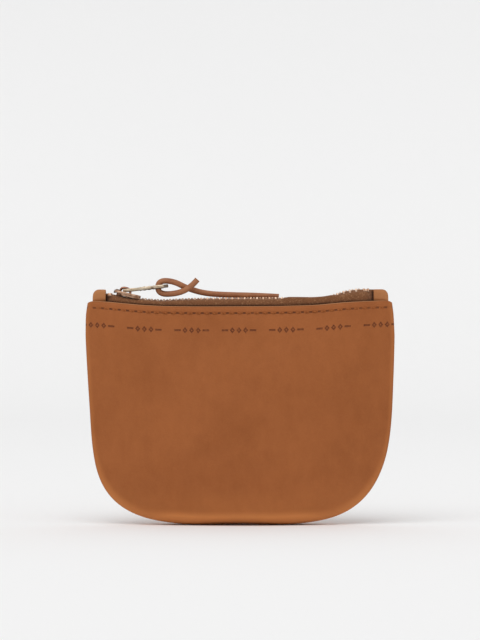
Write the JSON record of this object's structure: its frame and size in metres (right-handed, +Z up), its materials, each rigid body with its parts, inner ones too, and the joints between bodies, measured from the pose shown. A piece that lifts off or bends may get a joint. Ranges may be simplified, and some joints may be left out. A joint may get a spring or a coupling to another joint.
{
  "type": "zippered pouch",
  "caption": "Small flat leather pouch closed along its top by a metal zip, with a leather lace looped through the puller.",
  "frame": {"origin": "centre of the flat on the bottom that the pouch stands on", "axes": "+X along the zip towards its bottom stop, +Y from the front panel to the back panel, +Z up from the flat to the zip"},
  "size_m": [0.1268, 0.022, 0.1012],
  "materials": {
    "leather_body": "satin",
    "leather_tab": "satin",
    "leather_lace": "matte",
    "lining_cloth": "matte",
    "thread": "matte",
    "zip_tape": "matte",
    "zip_metal": "satin",
    "slider_metal": "satin"
  },
  "bodies": {
    "pouch": {"front_panel": "leather_body", "back_panel": "leather_body", "front_lining": "lining_cloth", "back_lining": "lining_cloth", "front_stitching": "thread", "back_stitching": "thread", "seam_thread": "thread", "front_top_stop": "zip_metal", "back_top_stop": "zip_metal", "bottom_stop": "zip_metal", "left_end_tab": "leather_tab", "right_end_tab": "leather_tab"},
    "slider": {"slider_body": "slider_metal", "slider_crown": "slider_metal"},
    "pull": {"puller": "slider_metal", "lace": "leather_lace"},
    "front_lip": {"front_tape": "zip_tape", "front_tape_cord": "zip_tape", "front_teeth": "zip_metal"},
    "back_lip": {"back_tape": "zip_tape", "back_tape_cord": "zip_tape", "back_teeth": "zip_metal"}
  },
  "joints": [
    {"name": "slider_travel", "type": "hinge", "parent": "pouch", "child": "slider", "pos_m": [-0.012, 0, 0.6416], "axis": [0, -1, 0], "range_deg": [0, 9.5], "deforming": ["front_tape", "front_tape_cord", "front_teeth", "back_tape", "back_tape_cord", "back_teeth"]},
    {"name": "puller_swing", "type": "hinge", "parent": "slider", "child": "pull", "pos_m": [-0.04736, 0, 0.0958], "axis": [0, -1, 0], "range_deg": [0, 150]},
    {"name": "front_lip_turn", "type": "hinge", "parent": "pouch", "child": "front_lip", "pos_m": [0, -0.00304, 0.0875], "axis": [1, 0, 0], "range_deg": [0, 24]},
    {"name": "back_lip_turn", "type": "hinge", "parent": "pouch", "child": "back_lip", "pos_m": [0, 0.00304, 0.0875], "axis": [-1, 0, 0], "range_deg": [0, 24]}
  ],
  "couplings": [
    {"joint": "front_lip_turn", "follows": "slider_travel", "ratio": 2.5263},
    {"joint": "back_lip_turn", "follows": "slider_travel", "ratio": 2.5263}
  ]
}
